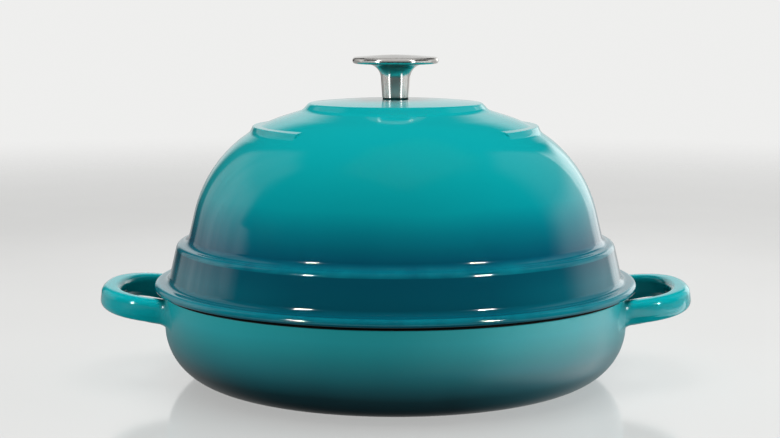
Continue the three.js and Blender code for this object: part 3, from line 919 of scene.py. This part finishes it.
def off_axis(place):
    """Distance from the pot's axis."""
    x, y = part(place, "X"), part(place, "Y")
    return (x * x + y * y).math("SQRT")


def steel(name, tone, roughness, brushing):
    """Stainless steel with fine lines round the axis, as a lathe or an abrasive pad leaves them."""
    material, place = blank_material(name)
    rings = {"X": off_axis(place), "Y": part(place, "Z"), "Z": 0}
    lines = noise(place.node("ShaderNodeCombineXYZ", inputs=rings), *STEEL_LINES)
    patches = noise(place, *STEEL_PATCHES)
    worn = mixed(LINES_SHARE, patches, lines)
    uneven = (lines - 0.5) * LINES_ROUGHNESS + (patches - 0.5) * PATCHES_ROUGHNESS
    surface(place, {
        "Base Color": toned(worn, shade(tone, STEEL_SHADE), tone),
        "Roughness": roughness + uneven,
        "Normal": bump(lines, brushing, BRUSHING_DEPTH),
        "Metallic": 1,
        "Anisotropic": BRUSHING_STRETCH,
        "Anisotropic Rotation": QUARTER_TURN,
    })
    return material


satin_steel = steel("satin_steel", SATIN_STEEL, roughness=0.17, brushing=0.10)
plain_steel = steel("plain_steel", PLAIN_STEEL, roughness=0.36, brushing=0.2)
stem_foot_z = gasket_z + GASKET_THICKNESS + SEAT_GAP
rim_top_z = stem_foot_z + KNOB_HEIGHT - KNOB_CROWN
rim_low_z = rim_top_z - KNOB_RIM
stem_disc_z = rim_low_z + STEM_DISC_THICKNESS
stem_bore = INSERT_RADIUS + SIDE_GAP
stem_profile, _ = rounded([
    (stem_bore, stem_disc_z, 0),
    (STEM_DISC_RADIUS, stem_disc_z, 0),
    (STEM_DISC_RADIUS, rim_low_z, 0),
    (STEM_TOP_RADIUS, rim_low_z - STEM_DISC_RISE, STEM_FLARE),
    (STEM_FOOT_RADIUS, pressed_z, STEM_FOOT_ROUND),
    (stem_bore, pressed_z, 0),
    (stem_bore, stem_disc_z, 0),
], longest=KNOB_STRETCH)
stem = turned("knob_trumpet_stem", stem_profile, satin_steel, full_turn(KNOB_ANGLES))
insert_end = stem_foot_z + INSERT_LENGTH
insert_profile = ring_profile(INSERT_RADIUS, screw_hole, stem_foot_z, insert_end, INSERT_EDGE)
insert_marks = {"grooved": insert_profile[:, 0] > INSERT_RADIUS - KNURL_MARGIN}
insert = turned(
    "knurled_bush", insert_profile, plain_steel, full_turn(KNURL_STEPS * KNURL_COUNT), insert_marks,
    **{"Groove Depth": KNURL_DEPTH, "Groove Starts": float(KNURL_COUNT)})
cap_recess = STEM_DISC_RADIUS + SIDE_GAP
cap_profile, _ = rounded([
    (0, rim_top_z + KNOB_CROWN, 0),
    (KNOB_CROWN_FLAT, rim_top_z + KNOB_CROWN, KNOB_CROWN_ROUND),
    (KNOB_RADIUS, rim_top_z, KNOB_RIM_ROUND),
    (KNOB_RADIUS, rim_low_z, KNOB_RIM_ROUND),
    (cap_recess, rim_low_z, CAP_RECESS_ROUND),
    (cap_recess, stem_disc_z + SEAT_GAP, 0),
    (0, stem_disc_z + SEAT_GAP, 0),
], longest=KNOB_STRETCH)
cap = turned("knob_crowned_cap", cap_profile, satin_steel, full_turn(KNOB_ANGLES))
for piece, node in ((stem, "knob_stem"), (insert, "knob_insert"), (cap, "knob_cap")):
    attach(piece, "lid")
    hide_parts(node)

# Washers inside the lid: a flat one that spreads the load on the enamel, and a split spring washer
# cut from square wire that keeps the screw from working loose.
FLAT_WASHER_RADIUS = 9 * MM
FLAT_WASHER_THICKNESS = 1.6 * MM
LOCK_WASHER_RADIUS = 5.9 * MM
LOCK_WASHER_THICKNESS = 1.6 * MM
LOCK_WASHER_SPLIT = 1.2 * MM
LOCK_WASHER_SLANT = math.radians(30)
WASHER_EDGE = 0.2 * MM
LOCK_WASHER_STEPS = 72

washer_top = crown_z - LID_WALL - SEAT_GAP
washer_low = washer_top - FLAT_WASHER_THICKNESS
washer_profile = ring_profile(FLAT_WASHER_RADIUS, screw_hole, washer_low, washer_top, WASHER_EDGE)
flat_washer = turned("load_washer", washer_profile, plain_steel, full_turn(KNOB_ANGLES))
lock_top = washer_low - SEAT_GAP
lock_low = lock_top - LOCK_WASHER_THICKNESS


def wire_rings():
    """The spring washer's section, carried round from one slanted side of its split to the other."""
    section = ring_profile(LOCK_WASHER_RADIUS, screw_hole, lock_low, lock_top, WASHER_EDGE)[:-1]
    radius, height = section.T
    half_split = LOCK_WASHER_SPLIT / math.cos(LOCK_WASHER_SLANT) / 2
    lean = (height - (lock_top + lock_low) / 2) * math.tan(LOCK_WASHER_SLANT)
    start = (half_split - lean) / radius
    stop = 2 * math.pi - (half_split + lean) / radius
    rings = []
    for share in np.linspace(0, 1, LOCK_WASHER_STEPS + 1):
        angle = start * (1 - share) + stop * share + LID_TURN
        rings.append(np.column_stack([radius * np.cos(angle), radius * np.sin(angle), height]))
    return rings


lock_washer = lofted("split_washer", wire_rings(), plain_steel)
for piece, node in ((flat_washer, "flat_washer"), (lock_washer, "lock_washer")):
    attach(piece, "lid")
    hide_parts(node)

# Knob screw: an M6 pan head machine screw with a hexagon socket, rolled thread, driven up through
# the washers and the lid's crown into the bush.
SCREW_END_GAP = 2 * MM
SCREW_TIP_CHAMFER = 0.6 * MM
SCREW_HEAD_RADIUS = 6 * MM
SCREW_HEAD_HEIGHT = 4 * MM
SCREW_HEAD_ROUND = 2 * MM
SCREW_EDGE = 0.15 * MM
SOCKET_ACROSS = 4 * MM
SOCKET_DEPTH = 2.2 * MM
THREAD_PITCH = 1 * MM
THREAD_DEPTH = 0.55 * MM
THREAD_STEPS = 8
SCREW_ANGLES = 72

head_top = lock_low - SEAT_GAP
head_low = head_top - SCREW_HEAD_HEIGHT
tip_z = insert_end - SCREW_END_GAP
socket_radius = SOCKET_ACROSS / 2 / math.cos(math.pi / 6)
screw_profile, screw_corner = rounded([
    (0, tip_z, 0),
    (SCREW_RADIUS - SCREW_TIP_CHAMFER, tip_z, 0),
    (SCREW_RADIUS, tip_z - SCREW_TIP_CHAMFER, 0),
    (SCREW_RADIUS, head_top, SCREW_EDGE),
    (SCREW_HEAD_RADIUS, head_top, SCREW_EDGE),
    (SCREW_HEAD_RADIUS, head_low, SCREW_HEAD_ROUND),
    (socket_radius, head_low, SCREW_EDGE),
    (socket_radius, head_low + SOCKET_DEPTH, 0),
    (0, head_low + SOCKET_DEPTH, 0),
], longest=THREAD_PITCH / THREAD_STEPS)
SHANK, SOCKET_RIM, SOCKET_END = 2.5, 6, 7
screw_marks = {
    "grooved": screw_corner == SHANK,
    "hexagonal": (screw_corner >= SOCKET_RIM) & (screw_corner <= SOCKET_END),
}
screw = turned(
    "socket_screw", screw_profile, plain_steel, full_turn(SCREW_ANGLES), screw_marks,
    **{"Groove Depth": THREAD_DEPTH, "Groove Starts": -1.0, "Grooves Per Metre": 1 / THREAD_PITCH})
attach(screw, "lid")
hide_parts("knob_screw")

# Floor: a pale worktop, polished near the pot, where it takes a soft reflection of the pan. Further
# out it fades into the backdrop. It is clear from below, and the glaze mirrors the studio's own floor.
FLOOR_RADIUS = 1.8
FLOOR_FADE = 0.42
FLOOR_SIDES = 96
FLOOR_TONE = (0.80, 0.80, 0.79)
FLOOR_SHADE = 0.97
FLOOR_CLOUDS = (7, 5)
POLISH_EDGE = (0.75, 0.35)
POLISH_WEIGHT = (0.9, 1.1)
POLISH_ROUGHNESS = 0.1


def rising(value, start, stop):
    """Goes smoothly from 0 where the value is start to 1 where it is stop."""
    inputs = {"Value": value, "From Min": start, "From Max": stop}
    return value.node("ShaderNodeMapRange", {"interpolation_type": "SMOOTHSTEP"}, inputs)


def pale_worktop():
    material, place = blank_material("pale_worktop")
    clouds = noise(place, *FLOOR_CLOUDS)
    distance = off_axis(place)
    top = place.node("ShaderNodeBsdfPrincipled", inputs={
        "Base Color": toned(clouds, shade(FLOOR_TONE, FLOOR_SHADE), FLOOR_TONE),
        "Specular IOR Level": 0,
        "Coat Weight": rising(distance, *POLISH_EDGE) * mixed(clouds, *POLISH_WEIGHT),
        "Coat Roughness": POLISH_ROUGHNESS,
    })
    from_below = place.node("ShaderNodeNewGeometry", output="Backfacing")
    faded = rising(distance, FLOOR_FADE, FLOOR_RADIUS).math("MAXIMUM", from_below)
    clear = place.node("ShaderNodeBsdfTransparent")
    shader = place.node("ShaderNodeMixShader", inputs={"Fac": faded, 1: top, 2: clear})
    place.node("ShaderNodeOutputMaterial", inputs={"Surface": shader})
    return material


floor_mesh = bpy.data.meshes.new("floor")
floor_edge = [
    (FLOOR_RADIUS * math.cos(turn), FLOOR_RADIUS * math.sin(turn), 0)
    for turn in full_turn(FLOOR_SIDES)[:-1]
]
floor_mesh.from_pydata(floor_edge, [], [range(FLOOR_SIDES)])
floor_mesh.materials.append(pale_worktop())
floor = placed("floor", floor_mesh)
floor.visible_glossy = False
floor.visible_diffuse = False

# Studio: a pale surround, in which the glaze mirrors tall soft boxes at both sides, a low one behind and
# a floor. Soft light comes from above, in front and the sides; panels stand where only the pan or only
# the knob mirrors them; rows of small masked lamps put sparks on the edges, the handles and the knob.
SURROUND = (1, 1, 0.99)
BACKDROP_LIGHT = 0.86
AMBIENT_BELOW = 0.55
AMBIENT_ABOVE = 0.16
ROOM_LIGHT = 0.02
PANEL_AIM = (0, 0, 0.08)
OVERHEAD = (0.2, -0.15, 1.9)
OVERHEAD_SIZE = (1.6, 1.2)
WINDOW_SIZE = (1.2, 1.0)
SPARK_DISTANCE = 2.0
SPARK_AZIMUTH = math.radians(47)
SPARK_HEIGHT = math.radians(30)
SPARK_BAR = 0.24
SPARK_LAMPS = 9
SPARK_LAMP_RADIUS = 0.012
SPARK_BLEND = 0.01

# What the glaze mirrors. Ahead runs from 1 in front of the pot to -1 behind it, and Z from -1 below
# to 1 above. A pair is a soft edge: where a thing begins, and where it is all there.
RIGHT_SIDE = (-0.1, 0.1)
HORIZON = (-0.02, 0.02)
NEAR_HORIZON = (-0.14, -0.06)
LEFT_LIGHT = 0.78
LEFT_EDGE = (-0.04, -0.22)
LEFT_EDGE_WANDER = 0.3
LEFT_NOTCH = ((0.11, 0.14), (0.18, 0.21))
LEFT_NOTCH_DEPTH = 0.14
LEFT_FADE = (-0.5, -0.75)
LEFT_FADE_DEPTH = 0.3
LEFT_MOTTLE = 0.6
LEFT_TOP = (0.4, 0.6)
LEFT_TOP_DEPTH = 0.5
STREAK_WANDER = 0.08
DARK_STREAK = ((-0.80, -0.84), (-0.91, -0.94))
DARK_STREAK_DEPTH = 0.95
RIGHT_LIGHT = 0.8
RIGHT_EDGE = (-0.02, -0.42)
RIGHT_TOP = (0.2, 0.4)
RIGHT_TOP_DEPTH = 0.65
BRIGHT_STRIP = ((-0.78, -0.81), (-0.93, -0.97))
BRIGHT_STRIP_LIGHT = 0.4
BOX_TOP = 0.25
BOX_TOP_RISE = 0.55
BOX_TOP_SLOPE = (-0.97, -0.6)
BOX_TOP_EDGE = (0.05, -0.05)
BACK_LIGHT = 0.78
BACK_EDGE = (-0.90, -0.96)
BACK_TOP = (0.56, 0.36)
LEFT_FLOOR_LIGHT = 0.2
LEFT_FLOOR_NEAR = (0.85, 0.6)
LEFT_FLOOR_FAR = (-0.2, -0.4)
RIGHT_FLOOR_LIGHT = 0.6
RIGHT_FLOOR_EDGE = (0.7, 0.2)
UNDERFOOT = (-0.8, -0.4)
GLOW_LIGHT = 0.4
GLOW_EDGE = (0.2, 0.6)
GLOW_BAND = ((-0.14, -0.08), (0.12, 0.2))
RIPPLES = {"edge": 5, "streak": 14, "mottle": 18, "strip": 40}
RIPPLE_DETAIL = 1
RIPPLE_HEIGHT = 0.25

scene = bpy.context.scene
scene.view_settings.view_transform = "Standard"
world = bpy.data.worlds.new("studio")
scene.world = world
world.use_nodes = True
world.node_tree.nodes.clear()
way = Wire(world.node_tree).node("ShaderNodeTexCoord", output="Generated")
way_x, way_y, way_z = (part(way, axis) for axis in "XYZ")
level = off_axis(way)
ahead = way_y * -1 / level
bearing = way.node("ShaderNodeCombineXYZ", inputs={
    "X": way_x / level, "Y": way_y / level, "Z": way_z * RIPPLE_HEIGHT})


def between(value, first, second):
    """1 from one soft edge to the next, and 0 before and after them."""
    return rising(value, *first) - rising(value, *second)


def ripple(kind):
    return noise(bearing, RIPPLES[kind], RIPPLE_DETAIL)


on_right = rising(way_x, *RIGHT_SIDE)
streak = ahead + (ripple("streak") - 0.5) * STREAK_WANDER
dark_streak = between(streak, *DARK_STREAK) * DARK_STREAK_DEPTH
bright_strip = between(streak, *BRIGHT_STRIP) * (BRIGHT_STRIP_LIGHT + ripple("strip"))
left_edge = ahead + (ripple("edge") - 0.5) * LEFT_EDGE_WANDER
left_edge = left_edge - between(way_z, *LEFT_NOTCH) * LEFT_NOTCH_DEPTH
left_box = rising(left_edge, *LEFT_EDGE) * (LEFT_LIGHT - rising(ahead, *LEFT_FADE) * LEFT_FADE_DEPTH)
left_box = left_box * (1 + ripple("mottle")) * LEFT_MOTTLE
left_box = left_box * (1 - dark_streak) * (1 - rising(way_z, *LEFT_TOP) * LEFT_TOP_DEPTH)
right_box = rising(ahead, *RIGHT_EDGE) * RIGHT_LIGHT
right_box = right_box * (1 - rising(way_z, *RIGHT_TOP) * RIGHT_TOP_DEPTH)
boxes = mixed(on_right, left_box, right_box + bright_strip)
box_top = BOX_TOP + rising(ahead, *BOX_TOP_SLOPE) * BOX_TOP_RISE
boxes = boxes * rising(way_z - box_top, *BOX_TOP_EDGE)
back_box = rising(ahead, *BACK_EDGE) * rising(way_z, *BACK_TOP) * BACK_LIGHT
above = boxes.math("MAXIMUM", back_box) + ROOM_LIGHT
near_horizon = rising(way_z, *NEAR_HORIZON)
left_floor = (rising(ahead, *LEFT_FLOOR_NEAR) + rising(ahead, *LEFT_FLOOR_FAR)) * LEFT_FLOOR_LIGHT
left_floor = left_floor * (1 - dark_streak * near_horizon)
right_floor = rising(ahead, *RIGHT_FLOOR_EDGE) * RIGHT_FLOOR_LIGHT + bright_strip * near_horizon
below = mixed(on_right, left_floor, right_floor) * rising(way_z, *UNDERFOOT) + ROOM_LIGHT
front_glow = rising(ahead, *GLOW_EDGE) * between(way_z, *GLOW_BAND) * GLOW_LIGHT
sky = rising(way_z, *HORIZON)
mirrored_light = mixed(sky, below, above) + front_glow
ambient = mixed(sky, AMBIENT_BELOW, AMBIENT_ABOVE)
camera_ray = way.node("ShaderNodeLightPath", output="Is Camera Ray")
glossy_ray = way.node("ShaderNodeLightPath", output="Is Glossy Ray")
strength = mixed(camera_ray, mixed(glossy_ray, ambient, mirrored_light), BACKDROP_LIGHT)
surround = way.node("ShaderNodeBackground", inputs={"Color": SURROUND, "Strength": strength})
way.node("ShaderNodeOutputWorld", inputs={"Surface": surround})


def group(name, *pieces):
    collection = bpy.data.collections.new(name)
    for piece in pieces:
        collection.objects.link(piece)
    return collection


pot = group("pot", pan, lid, gasket, stem, insert, cap, flat_washer, lock_washer, screw)
worktop = group("worktop", floor)
dish = group("dish", pan)
knob = group("knob", stem, cap)
sparked = group("sparked", pan, lid, stem, cap)


def hang(light, place, aim, receivers):
    """An unseen lamp that looks at its aim and lights only its receivers."""
    lamp = placed(light.name, light)
    lamp.location = place
    lamp.rotation_euler = (Vector(aim) - Vector(place)).to_track_quat("-Z", "Y").to_euler()
    lamp.visible_camera = False
    lamp.light_linking.receiver_collection = receivers
    return lamp


def panel(name, place, size, radiance, receivers, blockers=None, mirrored=False):
    """A soft box, of a width and a height, that faces the pot and lights it or is mirrored in it."""
    light = bpy.data.lights.new(name, "AREA")
    light.shape = "RECTANGLE"
    light.size, light.size_y = size
    light.energy = radiance * math.pi * size[0] * size[1]
    lamp = hang(light, place, PANEL_AIM, receivers)
    lamp.light_linking.blocker_collection = blockers
    lamp.visible_glossy = mirrored
    lamp.visible_diffuse = not mirrored


def mirrored_panel(name, pieces, place, size, radiance):
    """A panel that some pieces mirror, and that lights nothing."""
    panel(name, place, size, radiance, receivers=pieces, blockers=pieces, mirrored=True)


def spark_bar(name, side, aim, reach, power):
    """A row of small lamps at the front, masked to the part of the pot that they should touch."""
    out = SPARK_DISTANCE * math.cos(SPARK_HEIGHT)
    up = SPARK_DISTANCE * math.sin(SPARK_HEIGHT)
    for offset in np.linspace(-SPARK_BAR / 2, SPARK_BAR / 2, SPARK_LAMPS):
        azimuth = SPARK_AZIMUTH + offset / out
        light = bpy.data.lights.new(name, "SPOT")
        light.energy = power / SPARK_LAMPS
        light.shadow_soft_size = SPARK_LAMP_RADIUS
        light.spot_size = 2 * math.atan(reach / SPARK_DISTANCE)
        light.spot_blend = SPARK_BLEND
        place = (side * out * math.sin(azimuth), -out * math.cos(azimuth), up)
        lamp = hang(light, place, (side * aim[0], *aim[1:]), sparked)
        lamp.visible_diffuse = False


panel("overhead", OVERHEAD, OVERHEAD_SIZE, radiance=5.6, receivers=pot)
panel("overhead_shadow", OVERHEAD, OVERHEAD_SIZE, radiance=1.2, receivers=worktop)
panel("worktop_wash", OVERHEAD, OVERHEAD_SIZE, radiance=5.0, receivers=worktop, blockers=worktop)
panel("front_fill", place=(0.5, -2.2, 0.9), size=(1.6, 1.0), radiance=0.3, receivers=pot)
panel("right_window", (1.8, -0.2, -0.1), WINDOW_SIZE, radiance=3.1, receivers=pot, blockers=pot)
panel("left_window", (-1.8, -0.2, 0.2), WINDOW_SIZE, radiance=2.2, receivers=pot, blockers=pot)
mirrored_panel("right_floor", dish, place=(1.75, -0.05, -0.74), size=(3.0, 1.3), radiance=1.9)
mirrored_panel("handle_floor", dish, place=(0.7, -1.15, -0.2), size=(1.05, 0.22), radiance=1.6)
for side in (-1, 1):
    mirrored_panel("knob_side", knob, place=(side * 1.6, -0.3, 0), size=(2.0, 1.2), radiance=0.45)
    mirrored_panel("knob_line", knob, place=(side * 1.152, -0.96, -0.2), size=(0.2, 1.0), radiance=4)
mirrored_panel("knob_glow", knob, place=(0, -1.3, 1.1), size=(2.6, 1.3), radiance=0.75)
mirrored_panel("knob_top", knob, place=(0, 0.1, 1.6), size=(2.4, 2.0), radiance=0.8)
for side in (-1, 1):
    spark_bar("edge_spark", side, aim=(0, 0, -0.367), reach=0.321, power=120)
    spark_bar("handle_spark", side, aim=(0.158, -0.033, 0.045), reach=0.018, power=450)
    spark_bar("knob_spark", side, aim=(0, 0, 0.170), reach=0.03, power=40)

# Camera: stands in front of the pot, a little higher than the knob, and looks slightly down at it.
# Lengths are in metres and angles in radians, the lens and its sensor in millimetres.
CAMERA_DISTANCE = 0.95
CAMERA_HEIGHT = 0.210855
CAMERA_TURN = 0.009
CAMERA_AIM = 0.00326
CAMERA_PITCH = 0.127129
LENS = 77.916
SENSOR = 36

camera_data = bpy.data.cameras.new("camera")
camera_data.lens = LENS
camera_data.sensor_width = SENSOR
camera = placed("camera", camera_data)
camera.location = (
    CAMERA_DISTANCE * math.sin(CAMERA_TURN), -CAMERA_DISTANCE * math.cos(CAMERA_TURN), CAMERA_HEIGHT)
camera.rotation_euler = (math.pi / 2 - CAMERA_PITCH, 0, CAMERA_TURN + CAMERA_AIM)
scene.camera = camera
